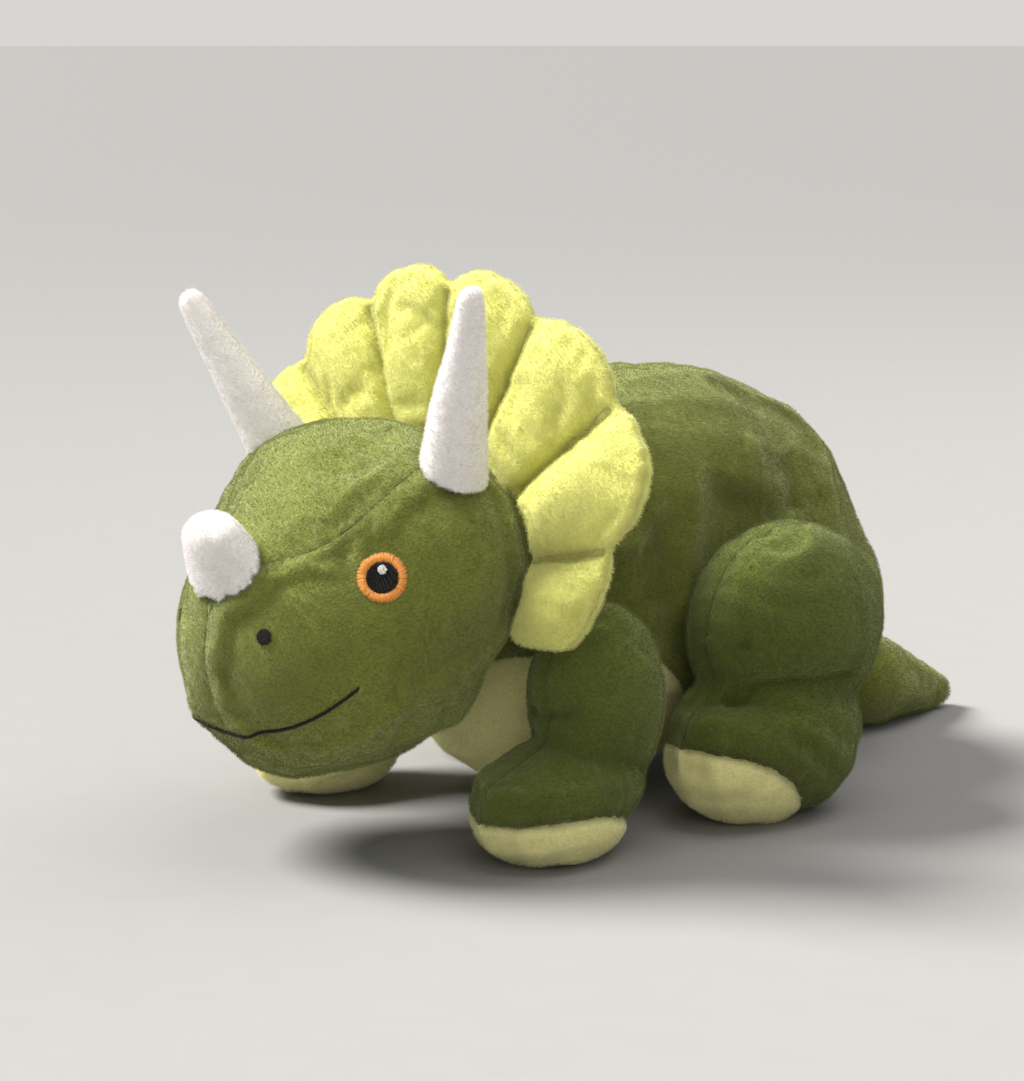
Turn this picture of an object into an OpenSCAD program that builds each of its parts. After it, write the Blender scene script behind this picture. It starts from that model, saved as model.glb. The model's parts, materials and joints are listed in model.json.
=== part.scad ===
// Stuffed triceratops: plush panels sewn round stuffing, on soft neck, leg, horn and tail joints.
// It faces -Y, its left side is +X, and it stands on Z = 0. Millimetres.

/* [Cloth] */
// Thickness of the plush, pile and backing together
cloth = 2; // [1.2:0.1:2.6]
// Air left between the plush and what is stuffed inside it
slack = 0.8; // [0.5:0.1:1.2]

/* [Head] */
// Half width of the skull
skull_w = 57; // [52:1:60]
// Height of the middle of the head
head_z = 80; // [76:1:84]
// Outer radius of an embroidered eye
eye_r = 7.8; // [6:0.2:9]
// Radius of an embroidered nostril
nostril_r = 2.9; // [2:0.1:4]
// Thickness of the embroidery
thread = 0.8; // [0.5:0.1:1.2]

/* [Frill] */
// Angle that one lobe of the frill takes
lobe_angle = 26; // [24:0.5:27]
// Depth of the notch between two lobes
notch = 6; // [4:1:12]
// Half thickness of a padded lobe at its middle
lobe_puff = 7; // [5:0.5:8]

/* [Horns] */
// Radius of a brow horn at its root
brow_horn_r = 11; // [8:0.5:12]
// Radius of a brow horn at its tip
brow_tip_r = 4; // [3:0.5:6]
// Height of the nose horn
nose_horn_height = 26; // [20:1:32]
// Radius of the nose horn at its base
nose_horn_r = 15; // [12:0.5:16]
// Radius of the nose horn at its tip
nose_tip_r = 7.5; // [4:0.5:8]

/* [Body] */
// Half width of the body
body_w = 50; // [46:1:54]
// Radius of the round neck that the head turns on
neck_r = 41; // [38:0.5:42]

/* [Tail] */
// Radius of the tail at its root
tail_r = 17; // [14:0.5:17]
// Distance from the root's middle to the tip's middle
tail_length = 40; // [30:1:42]

/* [Hidden] */

green = "#6c8a3c";
dark_green = "#55722f";
pale = "#d9d78a";
lime = "#dfe06a";
bone = "#e6dcd2";
white_fill = "#f4f2ea";
orange = "#f08a35";
black = "#171514";

// ---- Round forms: the furthest point of several ellipsoids, seen from one middle ----

// Distance from o along unit direction d to the far side of an ellipsoid [centre, half sizes]
function ray(o, d, e) =
    let (
        q = [for (k = [0:2]) (o[k] - e[0][k]) / e[1][k]],
        w = [for (k = [0:2]) d[k] / e[1][k]],
        a = w * w, b = q * w, c = q * q - 1,
        disc = b * b - a * c
    )
    disc < 0 ? 0 : max(0, (-b + sqrt(disc)) / a);

// The same to the near side of a sphere, or far away if the line misses it
function ray_to_ball(o, d, centre, r) =
    let (q = o - centre, b = q * d, disc = b * b - (q * q - r * r))
    disc < 0 || b > 0 ? 1e6 : -b - sqrt(disc);

// Several distances as one, with the joins between the ellipsoids rounded
function soft_max(list, power) = pow([for (x = list) pow(x, power)] * [for (x = list) 1], 1 / power);
function soft_ray(o, d, ellipsoids, power = 20) = soft_max([for (e = ellipsoids) ray(o, d, e)], power);

// Distance along d before coordinate k of o + t * d passes a flat limit on that side
function ray_to_flat(o, d, k, limit) =
    (limit - o[k]) * d[k] > 0 ? (limit - o[k]) / d[k] : 1e6;

// Unit direction at an angle from the -Y pole, turned by lon from +X towards +Z
function from_front(lat, lon) = [sin(lat) * cos(lon), -cos(lat), sin(lat) * sin(lon)];
// Unit direction at an angle above the horizon, turned by lon from -Y towards +X
function from_side(up, lon) = [cos(up) * sin(lon), -cos(up) * cos(lon), sin(up)];

function lerp(a, b, t) = a + (b - a) * t;
function smooth(t) = let (x = min(1, max(0, t))) x * x * (3 - 2 * x);
function flip(p) = [-p[0], p[1], p[2]];

// ---- Solids from grids of points ----

// The two triangles of one square of a grid of points numbered by at(i, j)
function square_of(at, i, j) = [
    [at(i, j), at(i + 1, j + 1), at(i + 1, j)], [at(i, j), at(i, j + 1), at(i + 1, j + 1)]];
function reversed(f) = [f[2], f[1], f[0]];
// Triangles that close the edge between a ring of points and the same ring on a second face
function rim_of(ring, count) = [
    for (k = [0:len(ring) - 1], a = [ring[k]], b = [ring[(k + 1) % len(ring)]], f = [
        [a, b, b + count], [a, b + count, a + count]]) reversed(f)];

// Closed sheet: its outer face is point(u, v, 0) and its inner face point(u, v, thick)
module panel(point, nu, nv, thick = cloth) {
    count = (nu + 1) * (nv + 1);
    at = function (i, j) i * (nv + 1) + j;
    face = [for (i = [0:nu - 1], j = [0:nv - 1], f = square_of(at, i, j)) f];
    ring = concat(
        [for (j = [0:nv - 1]) at(0, j)], [for (i = [0:nu - 1]) at(i, nv)],
        [for (j = [nv:-1:1]) at(nu, j)], [for (i = [nu:-1:1]) at(i, 0)]);
    polyhedron(
        [for (depth = [0, thick], i = [0:nu], j = [0:nv]) point(i / nu, j / nv, depth)],
        concat(face, [for (f = face) reversed(f) + [count, count, count]], rim_of(ring, count)));
}

// Closed cup of cloth: its two faces meet at the rim, and each closes at its middle
module cup(point, rings, sides, thick = cloth) {
    count = rings * sides + 1;
    at = function (i, j) 1 + (i - 1) * sides + j % sides;
    face = concat(
        [for (j = [0:sides - 1]) [0, at(1, j + 1), at(1, j)]],
        [for (i = [1:rings - 1], j = [0:sides - 1], f = square_of(at, i, j)) f]);
    polyhedron(
        [for (depth = [0, thick]) each concat([point(0, 0, depth)],
            [for (i = [1:rings], j = [0:sides - 1]) point(i / rings, j / sides, depth)])],
        concat(face, [for (f = face) reversed(f) + [count, count, count]],
            rim_of([for (j = [sides - 1:-1:0]) at(rings, j)], count)));
}

// Closed hoop of cloth, with a rim at each end
module hoop(point, rings, sides, thick = cloth) {
    count = (rings + 1) * sides;
    at = function (i, j) i * sides + j % sides;
    face = [for (i = [0:rings - 1], j = [0:sides - 1], f = square_of(at, i, j)) f];
    polyhedron(
        [for (depth = [0, thick], i = [0:rings], j = [0:sides - 1]) point(i / rings, j / sides, depth)],
        concat(face, [for (f = face) reversed(f) + [count, count, count]],
            rim_of([for (j = [0:sides - 1]) at(0, j)], count),
            rim_of([for (j = [sides - 1:-1:0]) at(rings, j)], count)));
}

// Closed body: rings of points between two poles
module blob(point, nu, nv) {
    last = (nu - 1) * nv + 1;
    at = function (i, j) 1 + (i - 1) * nv + j % nv;
    polyhedron(
        concat([point(0, 0)], [for (i = [1:nu - 1], j = [0:nv - 1]) point(i / nu, j / nv)], [point(1, 0)]),
        concat(
            [for (j = [0:nv - 1]) [0, at(1, j + 1), at(1, j)]],
            [for (i = [1:nu - 2], j = [0:nv - 1], f = square_of(at, i, j)) f],
            [for (j = [0:nv - 1]) [last, at(nu - 1, j), at(nu - 1, j + 1)]]));
}

// Thread of radius r along a line of points, with rings square to the line
module sweep(line, r, sides) {
    last = len(line) - 1;
    at = function (i, j) i * sides + j % sides;
    points = [for (i = [0:last])
        let (
            t0 = line[min(last, i + 1)] - line[max(0, i - 1)], t = t0 / norm(t0),
            a0 = cross(t, abs(t[2]) < 0.8 ? [0, 0, 1] : [0, 1, 0]), a = a0 / norm(a0), b = cross(t, a)
        )
        for (j = [0:sides - 1]) line[i] + r * (cos(360 * j / sides) * a + sin(360 * j / sides) * b)];
    polyhedron(points, concat(
        [[for (j = [0:sides - 1]) at(0, j)]],
        [for (i = [0:last - 1], j = [0:sides - 1], f = square_of(at, i, j)) reversed(f)],
        [[for (j = [sides - 1:-1:0]) at(last, j)]]));
}

// ---- Head ----

head_o = [0, -125, head_z];
neck = [0, -55, head_z + 4];
neck_gap = 1.6;
head_forms = [
    [[0, -109, head_z + 12], [skull_w + 3, 42, 41.5]],
    [[0, -110, head_z + 23], [skull_w + 1, 30, 30]],
    [[0, -127, head_z - 16], [49, 43, 39]],
    [[0, -124, head_z - 9], [53, 48.5, 44]],
];
// The head's skin is laid out in rows, from the tip of the snout to the rim round the neck
head_rows = 18;
head_step = 7.95;
chin_row = 5;
function head_lat(row) = 1 + head_step * row;

function head_r(d) = min(soft_ray(head_o, d, head_forms), ray_to_ball(head_o, d, neck, neck_r + neck_gap));
function head_point(lat, lon, inset) =
    let (d = from_front(lat, lon)) head_o + (head_r(d) - inset) * d;
// How far a point stands off the head
function off_head(p) = let (q = p - head_o, n = norm(q)) n - head_r(q / n);
// Where the forehead panel's edge runs: from the nose horn up over the brow
function brow_edge(lat) = lat < 60 ? 41 + 25 * pow((60 - lat) / 45, 2) : 41 + 14 * smooth((lat - 60) / 60);
// Where the chin panel's edge runs: from the seam down the snout back along the jaw
function jaw_edge(row) = row < chin_row ? -90 : -89.7 + 62 * smooth((row - chin_row) / 6);

module head_side(side) {
    color(green) panel(function (u, v, inset)
        let (
            row = head_rows * u, lat = head_lat(row), share = side > 0 ? v : 1 - v,
            p = head_point(lat, lerp(jaw_edge(row), brow_edge(lat), share), inset)
        )
        side > 0 ? p : flip(p), head_rows, 10);
}
module forehead_panel() {
    color(green) panel(function (u, v, inset)
        let (lat = head_lat(head_rows * u), edge = brow_edge(lat))
        head_point(lat, lerp(edge, 180 - edge, v), inset), head_rows, 8);
}
module chin_panel() {
    color(green) panel(function (u, v, inset)
        let (row = lerp(chin_row, head_rows, u), edge = jaw_edge(row))
        head_point(head_lat(row), lerp(-180 - edge, edge, v), inset), head_rows - chin_row, 8);
}
// Angles round the head in step with the panels over it
function head_lon(row, j) =
    let (brow = brow_edge(head_lat(row)), jaw = max(-88, jaw_edge(row)))
    j < 8 ? lerp(brow, 180 - brow, j / 8) : j < 18 ? lerp(180 - brow, 180 - jaw, (j - 8) / 10)
    : j < 26 ? lerp(180 - jaw, 360 + jaw, (j - 18) / 8) : lerp(360 + jaw, 360 + brow, (j - 26) / 10);
module head_stuffing() {
    turns = 36;
    rows = head_rows + 6;
    color(white_fill) blob(function (u, v)
        let (row = round(u * rows) - 1, past = max(0, row - head_rows) / 5)
        row < 0 ? head_point(0, 0, cloth + slack)
        : head_point(lerp(head_lat(min(row, head_rows)), 180, past), 
            head_lon(min(row, head_rows), round(v * turns)), cloth + slack), rows, turns);
}

// A spot (x, y) away from a place on the head, lifted off the skin: x runs back, y up
function on_skin(lat, lon, x, y, lift) =
    let (
        p = head_point(lat, lon, 0), n = cross(head_point(lat, lon - 3, 0) - head_point(lat, lon + 3, 0),
            head_point(lat - 3, lon, 0) - head_point(lat + 3, lon, 0)), out = -n / norm(n),
        back0 = cross(out, [0, 0, -1]), back = back0 / norm(back0),
        q = p + x * back + y * cross(back, -out) - head_o, d = q / norm(q)
    )
    head_o + (head_r(d) + lift) * d;
skin_gap = 0.7;
eye_lat = 75.9;
eye_lon = 18.6;
pupil_share = 0.62;
nostril_lat = 28.7;
nostril_lon = -8.2;
// A round embroidered patch on the left side, or its mirror image on the right
module patch(side, lat, lon, x, y, r, lift, thick) {
    color(black) cup(function (u, v, depth)
        let (
            turn = side > 0 ? 360 * v : -360 * v,
            p = on_skin(lat, lon, x + u * r * cos(turn), y + u * r * sin(turn), lift + thick - depth)
        )
        side > 0 ? p : flip(p), 2, 20, thick);
}
module eye_ring(side) {
    color(orange) hoop(function (u, v, depth)
        let (
            turn = side > 0 ? 360 * v : -360 * v, r = eye_r * lerp(pupil_share, 1, u),
            p = on_skin(eye_lat, eye_lon, r * cos(turn), r * sin(turn), skin_gap + thread - depth)
        )
        side > 0 ? p : flip(p), 2, 28, thread);
}
module eye_pupil(side) {
    patch(side, eye_lat, eye_lon, 0, 0, eye_r * pupil_share - 0.15, skin_gap, thread);
}
module eye_highlight(side) {
    color(white_fill) patch(side, eye_lat, eye_lon, -eye_r * 0.22, eye_r * 0.28, eye_r * 0.17,
        skin_gap + thread, thread / 2);
}
module nostril(side) {
    patch(side, nostril_lat, nostril_lon, 0, 0, nostril_r, skin_gap, thread);
}
// The mouth runs from one cheek under the snout to the other
mouth_r = 0.7;
function mouth_point(t) =
    let (
        a = abs(t),
        p = head_point(43 + 23 * pow(a, 1.6), -90 + 69 * pow(a, 0.8), -mouth_r - 0.3)
    )
    t < 0 ? flip(p) : p;
module mouth_stitching() {
    steps = 24;
    color(black) sweep([for (i = [0:steps]) mouth_point(2 * i / steps - 1)], mouth_r, 6);
}

// ---- Horns: tapered cones with a round tip, sewn down along the line where they meet the head ----

// A horn is [root, middle of the tip ball, root radius, tip radius, how much wider than deep]
left_brow = [[41, -108, 119], [57.5, -113, 178], brow_horn_r, brow_tip_r, 1];
right_brow = [[-41, -109, 119], [-68.5, -126.5, 169], brow_horn_r, brow_tip_r, 1];
nose = [[0, -152.5, 77], [0, -168, 78.5 + nose_horn_height], nose_horn_r, nose_tip_r, 1.5];
seat = 0.3;

// A point on a horn's wall, share t of the way from the root to the tip ball
function on_horn(h, t, turn, inset) =
    let (
        axis0 = h[1] - h[0], axis = axis0 / norm(axis0),
        a0 = cross(axis, [0, 1, 0.3]), a = a0 / norm(a0), b = cross(axis, a),
        r = lerp(h[2], h[3], t) - inset
    )
    h[0] + t * axis0 + r * (h[4] * cos(turn) * a + sin(turn) * b);
// The share at which that wall stands the given height off the head, by halving
function seat_share(h, turn, inset, rise, low = -0.6, high = 0.8, left = 14) =
    let (mid = (low + high) / 2)
    left == 0 ? mid
    : off_head(on_horn(h, mid, turn, inset)) > rise ? seat_share(h, turn, inset, rise, low, mid, left - 1)
    : seat_share(h, turn, inset, rise, mid, high, left - 1);
// u is 0 at the tip and 1 at the seat on the head
function horn_point(h, u, turn, inset, rise) =
    let (tip_part = 0.3)
    u < tip_part
    ? let (
        a = 90 - 90 * u / tip_part, axis0 = h[1] - h[0], axis = axis0 / norm(axis0),
        side = on_horn(h, 1, turn, 0) - h[1], r = h[3] - inset
      )
      h[1] + r * (sin(a) * axis + cos(a) * side / h[3])
    : on_horn(h, lerp(1, seat_share(h, turn, inset, rise), (u - tip_part) / (1 - tip_part)), turn, inset);
module horn_cover(h) {
    color(bone) cup(function (u, v, inset) horn_point(h, u, 360 * v, inset, seat), 10, 16);
}
module horn_stuffing(h) {
    foot = h[0] + (h[1] - h[0]) * seat_share([h[0], h[1], 0.01, 0.01, 1], 0, 0, seat + 1);
    color(white_fill) blob(function (u, v)
        u == 1 ? foot : horn_point(h, u / 0.9, 360 * v, cloth + slack, seat + 1), 10, 14);
}

// ---- Frill: eight padded lobes fanned round the back of the head ----

frill_z = 84;
lobes = 8;
fan_start = 90 - lobe_angle * lobes / 2;
fan_end = 90 + lobe_angle * lobes / 2;
frill_low_r = 86;
frill_wide_r = 108;
frill_top_r = 101;
// Angle round the fan's middle line, folded onto the left side: 90 at the top
function fold_angle(a) = a > 90 ? 180 - a : a;
// Outer edge, before the notches are taken off
function frill_edge(a) =
    let (f = fold_angle(a))
    f < 26 ? lerp(frill_low_r, frill_wide_r, smooth((f + 6) / 32)) : lerp(frill_wide_r, frill_top_r, smooth((f - 26) / 50));
function lobe_share(a) = let (x = (a - fan_start) / lobe_angle) x - floor(min(x, lobes - 0.001));
function scallop(a) = notch * (1 - pow(max(0, sin(180 * lobe_share(a))), 0.7));
// The lowest lobes have a rounded free end
function end_round(a) =
    let (e = min(a - fan_start, fan_end - a) / 16) e >= 1 ? 0 : 24 * (1 - sqrt(max(0, 1 - (1 - e) * (1 - e))));
function frill_r(a) = frill_edge(a) - (fold_angle(a) < fan_start + lobe_angle / 2 ? 0 : scallop(a)) - end_round(a);
// How far forward the frill's middle sheet is
function frill_y(a, r) =
    let (f = fold_angle(a)) -93 + 17 * smooth((f + 2) / 44) + 4 * (r - 48) / 60;
function frill_spot(a, r) = [r * cos(a), frill_y(a, r), frill_z + r * sin(a)];
// Radius at which the frill is sewn to the head, found by halving
function frill_in(a, low = 40, high = 75, left = 10) =
    let (mid = (low + high) / 2)
    left == 0 ? high : off_head(frill_spot(a, mid)) > 3 ? frill_in(a, low, mid, left - 1)
    : frill_in(a, mid, high, left - 1);
function puff(a, s) =
    1.6 + (lobe_puff - 1.6) * pow(max(0, sin(180 * lobe_share(a))), 0.6) * pow(max(0, 1 - pow(abs(2 * s - 1), 2.4)), 0.8);
function frill_point(a, s, off) =
    frill_spot(a, lerp(frill_in(a), frill_r(a), s)) + [0, off, 0];
frill_steps = 6;
seam_gap = 0.1;
frill_cloth = 1.4;

module frill_panel(side) {
    color(lime) panel(function (u, v, inset)
        let (a = side < 0 ? lerp(fan_end, fan_start, u) : lerp(fan_start, fan_end, u), h = puff(a, v))
        frill_point(a, v, side * max(seam_gap, h - inset)), lobes * frill_steps, 6, frill_cloth);
}
module frill_wadding() {
    color(white_fill) for (k = [0:lobes - 1])
        let (a0 = fan_start + k * lobe_angle)
            blob(function (u, v)
                let (
                    c = cos(360 * v), s = -sin(360 * v), w = sin(180 * u), h = cos(180 * u),
                    a = a0 + lobe_angle * (0.5 - 0.36 * w * c), q = 0.5 + 0.38 * w * s,
                    room = max(0.3, puff(a, q) - frill_cloth - slack)
                )
                frill_point(a, q, h * room), 6, 10);
}
module frill_stitching() {
    thread_r = 0.35;
    color(lime) for (k = [1:lobes - 1], side = [-1, 1])
        let (a = fan_start + k * lobe_angle)
            sweep([for (i = [0:5]) frill_point(a, lerp(0.1, 0.92, i / 5), side * (2 + thread_r))], thread_r, 6);
}

// ---- Torso ----

torso_o = [0, 5, 76];
torso_forms = [
    [[0, 8, 77], [body_w, 97, 68.5]],
    [[0, 67, 52], [body_w - 11, 54, 46]],
    [[0, 95, 28], [22, 29, 22]],
    [[0, -43, 35], [37, 29, 27]],
    [[0, -43, 62], [34, 29, 44]],
];
// How far out the body may bulge beside each leg, which lies flat against it
front_leg_in = 38;
hind_leg_in = 43;
leg_gap = 0.5;
function leg_flat(p) =
    let (
        front = (front_leg_in - leg_gap) + 1.2 * max(0, p[1] + 32, p[2] - 86),
        hind = (hind_leg_in - leg_gap) + 1.2 * max(0, norm([p[1] - 12, max(0, p[2] - 60)]) - 50)
    )
    min(front, hind);
function torso_r(d) =
    min(ray_to_ball(torso_o, d, tail_root, tail_r + tail_gap),
        max(soft_ray(torso_o, d, torso_forms), ray(torso_o, d, [neck, [neck_r, neck_r, neck_r]])));
function torso_point(lat, lon, inset) =
    let (d = from_front(lat, lon), p = torso_o + torso_r(d) * d, flat = leg_flat(p),
        q = [max(-flat, min(flat, p[0])), p[1], p[2]], e = torso_o - q)
    q + inset * e / norm(e);
torso_rows = 24;
belly_row = 1;
function torso_lat(row) = lerp(1.5, 179.3, row / torso_rows);
// Where the belly panel's edge runs: wide at the chest, narrow between the legs
function belly_edge(row) =
    row < belly_row ? -90 : -89.7 + 62 * smooth((row - 1) / 2.5) - 30 * smooth((row - 8) / 5) - 22 * smooth((row - 12) / 5);

module torso_side(side) {
    color(green) panel(function (u, v, inset)
        let (
            row = torso_rows * u, share = side > 0 ? v : 1 - v,
            p = torso_point(torso_lat(row), lerp(belly_edge(row), 90, share), inset)
        )
        side > 0 ? p : flip(p), torso_rows, 12);
}
module belly_panel() {
    color(pale) panel(function (u, v, inset)
        let (row = lerp(belly_row, torso_rows, u), edge = belly_edge(row))
        torso_point(torso_lat(row), lerp(-180 - edge, edge, v), inset), torso_rows - belly_row, 8);
}
neck_core_r = 24;
// Angles round the body in step with the panels over it
function torso_lon(row, j) =
    let (edge = max(-88, belly_edge(row)))
    j < 12 ? lerp(edge, 90, j / 12) : j < 24 ? lerp(90, 180 - edge, (j - 12) / 12)
    : lerp(180 - edge, 360 + edge, (j - 24) / 8);
module torso_stuffing() {
    turns = 32;
    rows = torso_rows + 2;
    color(white_fill) difference() {
        blob(function (u, v)
            let (row = max(0, min(torso_rows, round(u * rows) - 1)))
            torso_point(u == 0 ? 0 : u == 1 ? 180 : torso_lat(row), torso_lon(row, round(v * turns)), cloth + slack),
            rows, turns);
        translate(neck) sphere(r = neck_core_r + slack, $fn = 48);
    }
}
module neck_stuffing() {
    color(white_fill) translate(neck) sphere(r = neck_core_r, $fn = 48);
}

// ---- Legs: each is [middle, ellipsoids, inner face, sole edge at the heel and toe and its curve] ----

front_leg = [
    [58, -69, 40], [[[58, -62, 49], [20, 23, 32]], [[59, -81.5, 18], [22.5, 31, 20]]],
    front_leg_in, [-66, -30, 1.2]];
hind_leg = [
    [65, 6, 46], [[[65, 17, 63], [25, 38, 35]], [[65, 6.5, 25], [25, 39, 27.5]]],
    hind_leg_in, [-78, -25, 1.6]];
function leg_point(leg, up, lon, inset) =
    let (
        d = from_side(up, lon), o = leg[0],
        r = min(soft_ray(o, d, leg[1], 15), ray_to_flat(o, d, 0, leg[2]), ray_to_flat(o, d, 2, 0))
    )
    o + (r - inset) * d;
function sole_edge(leg, lon) = lerp(leg[3][0], leg[3][1], pow((1 + cos(lon)) / 2, leg[3][2]));
module leg_side(leg, out, side) {
    turn = out ? 0 : 180;
    color(dark_green) panel(function (u, v, inset)
        let (
            lon = turn + 180 * (side > 0 ? v : 1 - v),
            p = leg_point(leg, lerp(86, sole_edge(leg, lon), u), lon, inset)
        )
        side > 0 ? p : flip(p), 10, 9);
}
module leg_sole(leg, side) {
    color(pale) cup(function (u, v, inset)
        let (lon = 360 * (side > 0 ? 1 - v : v), p = leg_point(leg, lerp(-88, sole_edge(leg, lon), u), lon, inset))
        side > 0 ? p : flip(p), 5, 18);
}
// Rows of points in step with the leg's panels and sole
function leg_row_angle(leg, lon, row) =
    row == 0 ? 90 : row <= 11 ? lerp(86, sole_edge(leg, lon), (row - 1) / 10)
    : row <= 16 ? lerp(sole_edge(leg, lon), -88, (row - 11) / 5) : -90;
module leg_stuffing(leg, side) {
    color(white_fill) blob(function (u, v)
        let (
            lon = side > 0 ? 360 * v : 360 - 360 * v,
            p = leg_point(leg, leg_row_angle(leg, lon, round(17 * u)), lon, cloth + slack)
        )
        side > 0 ? p : flip(p), 17, 18);
}

// ---- Tail: a round root, a straight taper and a round tip, all one revolved outline ----

tail_root = [0, 128, 17.4];
tail_gap = 2.8;
tail_tip_r = 6.5;
tail_drop = 10.5;
tail_end = tail_root + [0, tail_length, -tail_drop];
module tail_shape(inset = 0) {
    along = tail_end - tail_root;
    length = norm(along);
    lean = asin((tail_r - tail_tip_r) / length);
    a = tail_r - inset;
    b = tail_tip_r - inset;
    translate(tail_root) rotate([-90 - asin(-along[2] / length), 0, 0]) rotate_extrude($fn = 48) intersection() {
        union() {
            circle(r = a, $fn = 64);
            translate([0, length]) circle(r = b, $fn = 64);
            polygon([
                [0, -a / 2], [a * cos(lean), a * sin(lean)],
                [b * cos(lean), length + b * sin(lean)], [0, length + b / 2]]);
        }
        translate([0, -100]) square([100, 400]);
    }
}
module tail_panel(side) {
    color(green) intersection() {
        difference() {
            tail_shape();
            tail_shape(cloth);
        }
        translate([side > 0 ? 0 : -100, 50, -50]) cube([100, 200, 150]);
    }
}
module tail_stuffing() {
    color(white_fill) tail_shape(cloth + slack);
}

torso_side(1);  // torso_left_panel
torso_side(-1);  // torso_right_panel
belly_panel();
torso_stuffing();
neck_stuffing();
head_side(1);  // head_left_panel
head_side(-1);  // head_right_panel
forehead_panel();
chin_panel();
head_stuffing();
eye_ring(1);  // left_eye_ring
eye_pupil(1);  // left_eye_pupil
eye_highlight(1);  // left_eye_highlight
eye_ring(-1);  // right_eye_ring
eye_pupil(-1);  // right_eye_pupil
eye_highlight(-1);  // right_eye_highlight
nostril(1);  // left_nostril
nostril(-1);  // right_nostril
mouth_stitching();
horn_cover(nose);  // nose_horn_cover
horn_stuffing(nose);  // nose_horn_stuffing
frill_panel(-1);  // frill_front_panel
frill_panel(1);  // frill_back_panel
frill_wadding();
frill_stitching();
horn_cover(left_brow);  // left_brow_horn_cover
horn_stuffing(left_brow);  // left_brow_horn_stuffing
horn_cover(right_brow);  // right_brow_horn_cover
horn_stuffing(right_brow);  // right_brow_horn_stuffing
leg_side(front_leg, true, 1);  // left_front_leg_outer_panel
leg_side(front_leg, false, 1);  // left_front_leg_inner_panel
leg_sole(front_leg, 1);  // left_front_sole
leg_stuffing(front_leg, 1);  // left_front_leg_stuffing
leg_side(front_leg, true, -1);  // right_front_leg_outer_panel
leg_side(front_leg, false, -1);  // right_front_leg_inner_panel
leg_sole(front_leg, -1);  // right_front_sole
leg_stuffing(front_leg, -1);  // right_front_leg_stuffing
leg_side(hind_leg, true, 1);  // left_hind_leg_outer_panel
leg_side(hind_leg, false, 1);  // left_hind_leg_inner_panel
leg_sole(hind_leg, 1);  // left_hind_sole
leg_stuffing(hind_leg, 1);  // left_hind_leg_stuffing
leg_side(hind_leg, true, -1);  // right_hind_leg_outer_panel
leg_side(hind_leg, false, -1);  // right_hind_leg_inner_panel
leg_sole(hind_leg, -1);  // right_hind_sole
leg_stuffing(hind_leg, -1);  // right_hind_leg_stuffing
tail_panel(1);  // tail_left_panel
tail_panel(-1);  // tail_right_panel
tail_stuffing();
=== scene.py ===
import json
import math

import bpy
import numpy as np
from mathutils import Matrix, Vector
from mathutils.bvhtree import BVHTree
from mathutils.kdtree import KDTree


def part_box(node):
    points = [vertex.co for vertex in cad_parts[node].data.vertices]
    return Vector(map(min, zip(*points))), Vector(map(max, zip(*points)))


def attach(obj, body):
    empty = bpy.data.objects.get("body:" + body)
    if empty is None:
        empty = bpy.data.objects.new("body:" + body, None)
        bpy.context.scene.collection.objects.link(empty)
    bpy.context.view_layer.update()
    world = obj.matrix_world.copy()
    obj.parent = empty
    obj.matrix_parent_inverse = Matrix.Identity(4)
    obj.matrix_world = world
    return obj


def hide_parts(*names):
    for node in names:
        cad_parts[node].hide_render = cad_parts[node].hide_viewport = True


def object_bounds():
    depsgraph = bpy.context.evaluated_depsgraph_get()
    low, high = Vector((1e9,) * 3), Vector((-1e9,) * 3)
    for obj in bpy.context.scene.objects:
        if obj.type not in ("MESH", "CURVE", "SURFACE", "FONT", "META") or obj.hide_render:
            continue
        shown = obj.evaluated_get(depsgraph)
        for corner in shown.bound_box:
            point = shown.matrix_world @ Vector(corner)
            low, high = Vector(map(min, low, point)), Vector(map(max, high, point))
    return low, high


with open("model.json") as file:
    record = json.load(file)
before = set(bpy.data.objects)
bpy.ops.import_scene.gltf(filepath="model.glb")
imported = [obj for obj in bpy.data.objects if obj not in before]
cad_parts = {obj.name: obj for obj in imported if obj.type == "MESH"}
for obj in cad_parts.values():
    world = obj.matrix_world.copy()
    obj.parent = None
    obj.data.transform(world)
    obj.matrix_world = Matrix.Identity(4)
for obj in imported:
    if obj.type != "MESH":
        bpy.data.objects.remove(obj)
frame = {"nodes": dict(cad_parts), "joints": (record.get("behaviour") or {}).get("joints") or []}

CAD_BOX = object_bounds()
MM = 0.001
UP = np.array([0.0, 0.0, 1.0])

# ---- Cloth, seams and pile ----
CLOTH = 1.6            # thickness of a plush panel, without its pile
CLEARANCE = 0.4        # room left between a part and the next one
SEAM_DEPTH = 1.5       # how far the cloth turns in along a seam
SEAM_WIDTH = 1.5
BANK_DEPTH = 0.7       # how far the cloth beside a seam is drawn down, and over what width
BANK_WIDTH = 6.0
SOFT_SEAM = 0.35       # strength of a seam that hardly shows, next to 1 for a plain one
LUMP, DIMPLE, TUFT = 24, 10, 3.0     # widths of the unevenness of the stuffing, from coarse to fine
PIN_WIDTH = 2.5        # how far from a seam the solver still holds the cloth
SPARE_CLOTH = 0.03     # share by which the solver's cloth is cut too large
SOLVER_FRAMES = 20
PILE_LENGTH = 0.9
PALE_PILE_LENGTH = 0.8
PILE_PER_MM2 = 4.0     # strands on each square millimetre of plush
PILE_SEED = 7
# DEEP_SHADE is a level of the painted shade of seams and folds.
DEEP_SHADE = 0.75      # a seam or fold darker than this keeps only the share THIN_PILE of its pile
THIN_PILE = 0.4
BRUSHED_SCALE = 38.0   # of the noise that brushes the pile light and dark, per metre


# ================================================================ numbers and noise

def smooth_step(t):
    t = np.clip(t, 0, 1)
    return t * t * (3 - 2 * t)


def unit(v):
    return v / np.maximum(np.linalg.norm(v, axis=-1, keepdims=True), 1e-12)


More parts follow.
